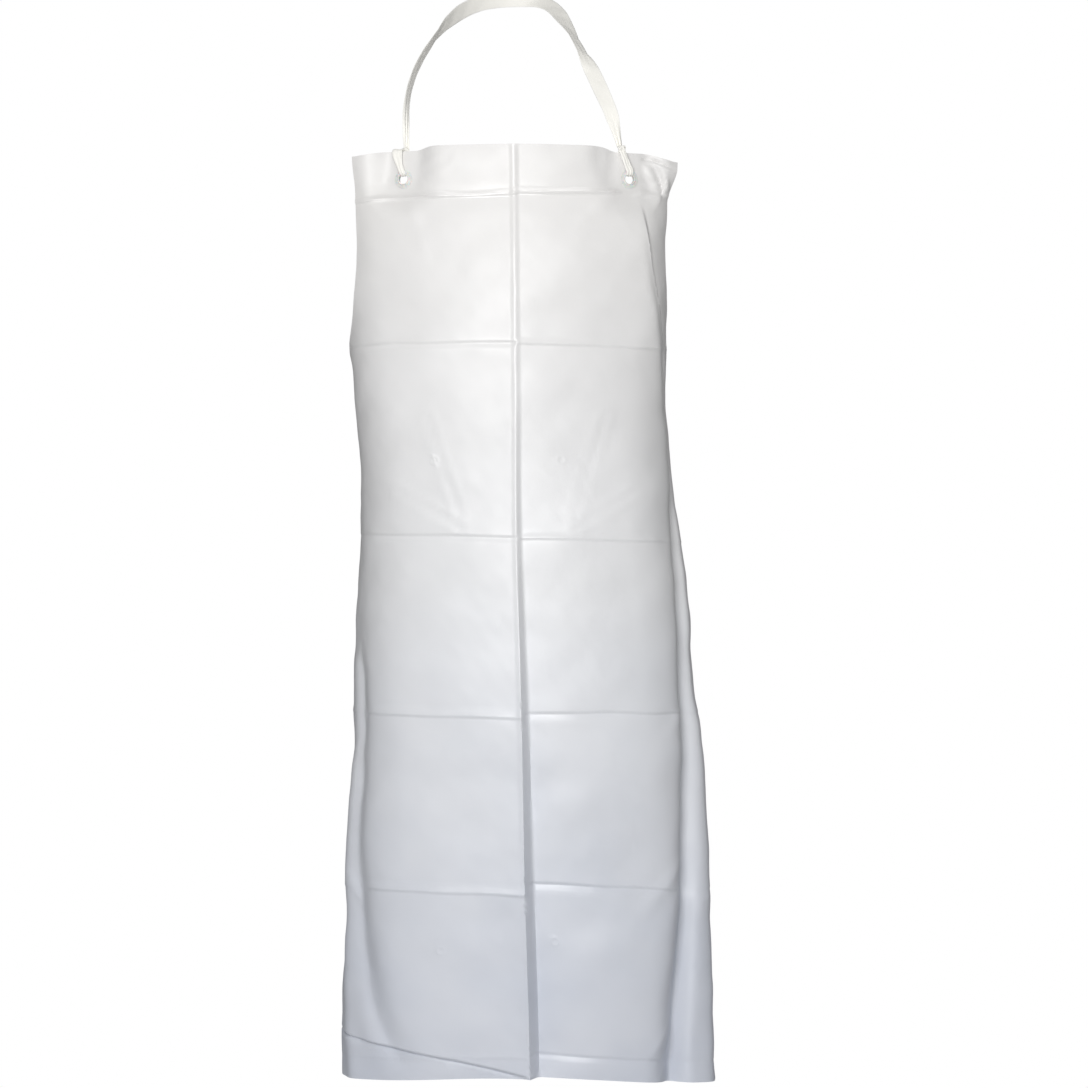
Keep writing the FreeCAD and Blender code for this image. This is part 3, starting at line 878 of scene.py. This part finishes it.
def run_shares(line):
    """How much of the line's length lies behind each of its places, and the whole length."""
    run = walked(line)
    return run / run[-1], run[-1]


def tape_mesh(name, line, across, widths, thickness, pleat_height, closed=False):
    """Tape along a line. Where it is narrower than its flat width it is gathered in pleats."""
    samples = np.linspace(-1, 1, TAPE_COLUMNS)
    tangent = unit(np.roll(line, -1, 0) - np.roll(line, 1, 0) if closed else np.gradient(line, axis=0))
    across = unit(across - tangent * np.sum(across * tangent, axis=1, keepdims=True))
    facing = np.cross(tangent, across)
    shares, length = run_shares(line)
    edge = np.sqrt(1 - SELVEDGE_THINNING * samples**SELVEDGE_POWER)
    gather = np.clip(1 - widths / TAPE_WIDTH, 0, 1)[:, None]
    waver = GATHERED_WAVER * np.sin(GATHERED_WAVER_TURNS * math.pi * shares)[:, None]
    folds = pleat_height * gather * np.sin(GATHERED_WAVES * math.pi * samples[None, :] + waver)
    ripple = RIPPLE_TURN * shares[:, None] * length / RIPPLE_RUN
    folds = folds + RIPPLE_HEIGHT * np.sin(ripple + RIPPLE_SKEW * samples[None, :])
    sideways = across[:, None] * (samples[None, :] * widths[:, None] / 2)[..., None]
    half = thickness / 2 * (1 + GATHERED_THICKENING * gather) * edge[None, :]
    top = line[:, None] + (sideways + facing[:, None] * (folds + half)[..., None]) * MM
    low = line[:, None] + (sideways + facing[:, None] * (folds - half)[..., None]) * MM
    rings = np.concatenate([top, low[:, ::-1]], axis=1)
    count, size = rings.shape[:2]
    faces = []
    for n in range(count if closed else count - 1):
        here, ahead = n * size, (n + 1) % count * size
        faces += [(here + k, here + (k + 1) % size, ahead + (k + 1) % size, ahead + k) for k in range(size)]
    if not closed:
        for base, turn in ((0, -1), ((count - 1) * size, 1)):
            for k in range(TAPE_COLUMNS - 1):
                cap = (base + k, base + k + 1, base + size - 2 - k, base + size - 1 - k)
                faces.append(cap[::turn])
    flat = np.concatenate([samples, samples[::-1]]) * TAPE_WIDTH / 2 * MM
    place = np.zeros((count, size, 3))
    place[..., 0] = (shares * length)[:, None]
    place[..., 1] = flat[None, :]
    return mesh_object(name, rings.reshape(-1, 3), faces, place.reshape(-1, 3))


def make_strap():
    """The neck strap and the line that it follows."""
    line = smooth_line(TAPE_ROUTE, "strap_line")
    shares, _ = run_shares(line)
    tangent = unit(np.gradient(line, axis=0))
    side = np.tanh(line[:, 0] / NAPE_HALF_WIDTH)
    lean = np.stack([STRAP_LEAN * side, np.zeros(len(line)), np.full(len(line), STRAP_LEAN)], axis=1)
    lean = unit(lean - tangent * np.sum(lean * tangent, axis=1, keepdims=True))
    turn = np.radians(np.interp(shares, STRAP_TURNS[:, 0], STRAP_TURNS[:, 1]))[:, None]
    widths = np.interp(shares, STRAP_TURNS[:, 0], STRAP_TURNS[:, 2])
    across = lean * np.cos(turn) + np.cross(tangent, lean) * np.sin(turn)
    strap = tape_mesh("neck_strap", line, across, widths, TAPE_THICKNESS, STRAP_PLEAT)
    return strap, line


def eyelet_frame(side):
    """The middle of a bib eyelet on the film, with the film's sideways, upward and outward directions."""
    reach, drop = np.array([side * BIB_EYELET[0]]), np.array([float(BIB_EYELET[1])])
    across, down = film_slopes(reach, drop)
    across = unit(across[0])
    outward = unit(np.cross(down[0], across))
    return smooth_film(reach, drop)[0] * MM, across, np.cross(outward, across), outward


def placed(frame_of, local):
    """Points in metres from places in mm along an eyelet's sideways, upward and outward directions."""
    point, across, up, outward = frame_of
    return [tuple(point + (a * across + b * up + c * outward) * MM) for a, b, c in local]


def make_loop(side):
    """Gathered tape from the knot over the film's edge, in through the eyelet and up behind the film."""
    frame_of = eyelet_frame(side)
    line = smooth_line(placed(frame_of, LOOP_ROUTES[side]), "loop_line")
    shares, _ = run_shares(line)
    widths = np.interp(shares, LOOP_SHARES, LOOP_WIDTHS[side])
    across = np.repeat(frame_of[1][None, :], len(line), axis=0)
    return tape_mesh(f"{SIDE_NAMES[side]}_tape_loop", line, across, widths, LOOP_THICKNESS, LOOP_PLEAT)


def make_knot(side):
    """An overhand knot of gathered tape, pulled tight."""
    frame_of = eyelet_frame(side)
    turn = np.linspace(0, 2 * math.pi, KNOT_POINTS, endpoint=False)
    a, b, c = KNOT_PLACES[side]
    wide, tall, deep = KNOT_SIZE
    local = np.stack([
        a + wide * (np.sin(turn) + 2 * np.sin(2 * turn)),
        b + tall * (np.cos(turn) - 2 * np.cos(2 * turn)),
        c - deep * np.sin(3 * turn),
    ], axis=1)
    line = np.array(placed(frame_of, local))
    tangent = unit(np.roll(line, -1, 0) - np.roll(line, 1, 0))
    across = np.cross(tangent, frame_of[3][None, :])
    widths = np.full(len(line), KNOT_WIDTH)
    name = f"{SIDE_NAMES[side]}_tape_knot"
    return tape_mesh(name, line, across, widths, KNOT_THICKNESS, KNOT_PLEAT, closed=True)


# ---- materials ----

# Film colours at the bib, the waist and the hem, with the heights between which each turns into the next,
# and the colour of its milkier patches. The hem's darker, bluer colour is painted shade.
FILM_BIB = (0.74, 0.728, 0.712, 1)
FILM_WAIST = (0.725, 0.735, 0.755, 1)
# painted shade: the hem colour is darker and bluer to stand in for the light falling off towards the hem
FILM_HEM_PAINTED_SHADE = (0.57, 0.605, 0.69, 1)
BIB_TO_WAIST = (-0.25, -0.80)
WAIST_TO_HEM_SHADE = (-0.70, -1.27)
FILM_PATCH = (0.85, 0.845, 0.855, 1)
# Tape colours between its threads, which is painted shade, on them, in its mottle and at its selvedges, its
# thread spacing, and where its selvedges begin and end, from its middle.
TAPE_HOLLOW_SHADE = (0.92, 0.90, 0.83, 1)
TAPE_THREAD = (1.0, 0.99, 0.955, 1)
TAPE_MOTTLE = (0.96, 0.94, 0.88, 1)
TAPE_SELVEDGE = (0.97, 0.96, 0.93, 1)
THREAD_SPACING = 0.0011
SELVEDGE = (0.0076, 0.0084)
PLASTIC_DARK = (0.66, 0.65, 0.63, 1)
PLASTIC_LIGHT = (0.75, 0.74, 0.72, 1)
FLOOR_DARK = (0.86, 0.86, 0.86, 1)
FLOOR_LIGHT = (0.90, 0.90, 0.90, 1)


def node(tree, kind, inputs=None, **fields):
    """A shader node with its fields set and its inputs given a value or a link."""
    made = tree.nodes.new(kind)
    for name, value in fields.items():
        setattr(made, name, value)
    for name, value in (inputs or {}).items():
        if isinstance(value, bpy.types.NodeSocket):
            tree.links.new(value, made.inputs[name])
        else:
            made.inputs[name].default_value = value
    return made


def math_node(tree, operation, first, second=0.0):
    """One sum of two values."""
    return node(tree, "ShaderNodeMath", {0: first, 1: second}, operation=operation).outputs[0]


def spread(tree, value, source, target):
    """A value moved from one range to another."""
    places = {
        "Value": value, "From Min": source[0], "From Max": source[1], "To Min": target[0], "To Max": target[1]
    }
    return node(tree, "ShaderNodeMapRange", places).outputs[0]


def mixed(tree, factor, first, second):
    """One colour mixed into another."""
    return node(tree, "ShaderNodeMix", {0: factor, 6: first, 7: second}, data_type="RGBA").outputs[2]


def noise(tree, vector, scale, detail=2.0):
    """A noise value over the object."""
    places = {"Vector": vector, "Scale": scale, "Detail": detail}
    return node(tree, "ShaderNodeTexNoise", places).outputs[0]


def bump(tree, height, strength, distance, before=None):
    """A bumped normal, on top of another one if it is given."""
    places = {"Height": height, "Strength": strength, "Distance": distance}
    if before is not None:
        places["Normal"] = before
    return node(tree, "ShaderNodeBump", places).outputs[0]


def new_material(name):
    """A material with its node tree, its shader and the object's own coordinates."""
    material = bpy.data.materials.new(name)
    material.use_nodes = True
    tree = material.node_tree
    place = node(tree, "ShaderNodeTexCoord").outputs["Object"]
    return material, tree, tree.nodes["Principled BSDF"], place


def film_material():
    """Satin white vinyl: milky, painted darker and bluer low down as shade, with a fine calendered grain."""
    material, tree, shader, place = new_material("white_vinyl")
    height = node(tree, "ShaderNodeSeparateXYZ", {0: place}).outputs["Z"]
    patches = noise(tree, place, scale=7.0, detail=3.0)
    clouds = noise(tree, place, scale=38.0)
    grain = noise(tree, place, scale=850.0)
    upper = mixed(tree, spread(tree, height, BIB_TO_WAIST, (0.0, 1.0)), FILM_BIB, FILM_WAIST)
    # painted shade: the colour turns darker and bluer down to the hem
    base = mixed(tree, spread(tree, height, WAIST_TO_HEM_SHADE, (0.0, 1.0)), upper, FILM_HEM_PAINTED_SHADE)
    tint = mixed(tree, spread(tree, patches, (0.3, 0.7), (0.0, 0.25)), base, FILM_PATCH)
    tree.links.new(tint, shader.inputs["Base Color"])
    cloudy = spread(tree, clouds, (0.3, 0.7), (0.40, 0.48))
    rough = math_node(tree, "ADD", cloudy, spread(tree, grain, (0, 1), (0, 0.05)))
    polish = node(tree, "ShaderNodeAttribute", attribute_name="pressed").outputs["Fac"]
    polished = math_node(tree, "MULTIPLY", rough, spread(tree, polish, (0, 1), (1.0, 0.42)))
    tree.links.new(polished, shader.inputs["Roughness"])
    normal = bump(tree, clouds, strength=0.10, distance=0.0015)
    normal = bump(tree, grain, strength=0.12, distance=0.00012, before=normal)
    tree.links.new(normal, shader.inputs["Normal"])
    shader.inputs["Subsurface Weight"].default_value = 0.15
    shader.inputs["Subsurface Radius"].default_value = (1, 1, 1)
    shader.inputs["Subsurface Scale"].default_value = 0.002
    shader.inputs["IOR"].default_value = 1.53
    return material


def tape_material():
    """Plain-woven cream tape: crossing threads with painted shade between them, a firmer selvedge and a
    slight mottle.
    """
    material, tree, shader, place = new_material("woven_tape")
    tape = node(tree, "ShaderNodeAttribute", attribute_name="tape_place").outputs["Vector"]
    parts = node(tree, "ShaderNodeSeparateXYZ", {0: tape}).outputs
    weft = math_node(tree, "SINE", math_node(tree, "MULTIPLY", parts["X"], 2 * math.pi / THREAD_SPACING))
    warp = math_node(tree, "SINE", math_node(tree, "MULTIPLY", parts["Y"], 2 * math.pi / THREAD_SPACING))
    weave = spread(tree, math_node(tree, "MULTIPLY", weft, warp), (-1.0, 1.0), (0.0, 1.0))
    edge = spread(tree, math_node(tree, "ABSOLUTE", parts["Y"]), SELVEDGE, (0.0, 1.0))
    fibres = noise(tree, place, scale=1600.0, detail=3.0)
    mottle = noise(tree, place, scale=90.0)
    # painted shade: the hollows between the threads are coloured darker than the threads
    woven_with_shade = mixed(tree, weave, TAPE_HOLLOW_SHADE, TAPE_THREAD)
    mottled = mixed(tree, spread(tree, mottle, (0.3, 0.7), (0.0, 0.4)), woven_with_shade, TAPE_MOTTLE)
    tint = mixed(tree, math_node(tree, "MULTIPLY", edge, 0.5), mottled, TAPE_SELVEDGE)
    tree.links.new(tint, shader.inputs["Base Color"])
    tree.links.new(spread(tree, fibres, (0.2, 0.8), (0.78, 0.95)), shader.inputs["Roughness"])
    normal = bump(tree, weave, strength=0.55, distance=0.00025)
    normal = bump(tree, fibres, strength=0.25, distance=0.0001, before=normal)
    tree.links.new(normal, shader.inputs["Normal"])
    shader.inputs["Sheen Weight"].default_value = 0.25
    shader.inputs["Sheen Roughness"].default_value = 0.5
    return material


def plastic_material():
    """Moulded white eyelet plastic, slightly milky."""
    material, tree, shader, place = new_material("eyelet_plastic")
    flow = noise(tree, place, scale=260.0, detail=3.0)
    fine = noise(tree, place, scale=2600.0)
    tint = mixed(tree, spread(tree, flow, (0.3, 0.7), (0.0, 1.0)), PLASTIC_DARK, PLASTIC_LIGHT)
    tree.links.new(tint, shader.inputs["Base Color"])
    tree.links.new(spread(tree, flow, (0.2, 0.8), (0.24, 0.36)), shader.inputs["Roughness"])
    tree.links.new(bump(tree, fine, strength=0.15, distance=0.0001), shader.inputs["Normal"])
    shader.inputs["Subsurface Weight"].default_value = 0.3
    shader.inputs["Subsurface Scale"].default_value = 0.002
    return material


def floor_material():
    """Plain pale matt floor."""
    material, tree, shader, place = new_material("pale_floor")
    tint = mixed(tree, noise(tree, place, scale=3.0), FLOOR_DARK, FLOOR_LIGHT)
    tree.links.new(tint, shader.inputs["Base Color"])
    shader.inputs["Roughness"].default_value = 0.7
    return material


# ---- the whole apron ----

film_finish, tape_finish, plastic_finish = film_material(), tape_material(), plastic_material()

film = make_film()
film.data.materials.append(film_finish)
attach(film, "apron")
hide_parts("apron_panel")

strap, strap_line = make_strap()
strap.data.materials.append(tape_finish)
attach(strap, "neck_tape")
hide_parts("neck_tape")

for side, word in SIDE_NAMES.items():
    for piece, replaced in ((make_loop(side), f"{word}_eyelet_loop"), (make_knot(side), f"{word}_knot")):
        piece.data.materials.append(tape_finish)
        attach(piece, "apron")
        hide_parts(replaced)

for name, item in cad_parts.items():
    if "eyelet" in name or "washer" in name:
        for material_slot in item.material_slots:
            material_slot.material = plastic_finish

# ---- stage ----

FLOOR_Z = -1.6
FLOOR_RADIUS = 1.5
FLOOR_CORNERS = 96
BACKDROP_LIGHT = 0.21
BACKDROP_SEEN = 1.0

corners = [
    (FLOOR_RADIUS * math.cos(a), FLOOR_RADIUS * math.sin(a), FLOOR_Z)
    for a in np.linspace(0, 2 * math.pi, FLOOR_CORNERS, endpoint=False)
]
floor = mesh_object("floor", corners, [range(len(corners))])
floor.data.materials.append(floor_material())


def area_light(name, place, aim, size, power):
    """A soft light of this width and height, aimed at a point, which isn't seen itself."""
    data = bpy.data.lights.new(name, "AREA")
    data.shape = "RECTANGLE"
    data.size, data.size_y = size
    data.energy = power
    light = bpy.data.objects.new(name, data)
    light.visible_camera = False
    light.location = place
    light.rotation_euler = (Vector(aim) - Vector(place)).to_track_quat("-Z", "Y").to_euler()
    bpy.context.scene.collection.objects.link(light)


area_light("key", place=(-0.20, -2.0, -0.30), aim=(0, -0.15, -0.52), size=(0.95, 0.95), power=27)
area_light("strip", place=(0, -1.30, 0.75), aim=(0, -0.12, -0.30), size=(1.4, 0.18), power=6)
area_light("back", place=(0.6, 2.4, 0.6), aim=(0, 0, -0.6), size=(1.6, 1.6), power=24)

world = bpy.data.worlds.new("studio")
bpy.context.scene.world = world
world.use_nodes = True
backdrop = world.node_tree.nodes["Background"]
backdrop.inputs["Color"].default_value = (1, 1, 1, 1)
is_seen = node(world.node_tree, "ShaderNodeLightPath").outputs["Is Camera Ray"]
strength = spread(world.node_tree, is_seen, (0, 1), (BACKDROP_LIGHT, BACKDROP_SEEN))
world.node_tree.links.new(strength, backdrop.inputs["Strength"])
bpy.context.scene.view_settings.view_transform = "Standard"
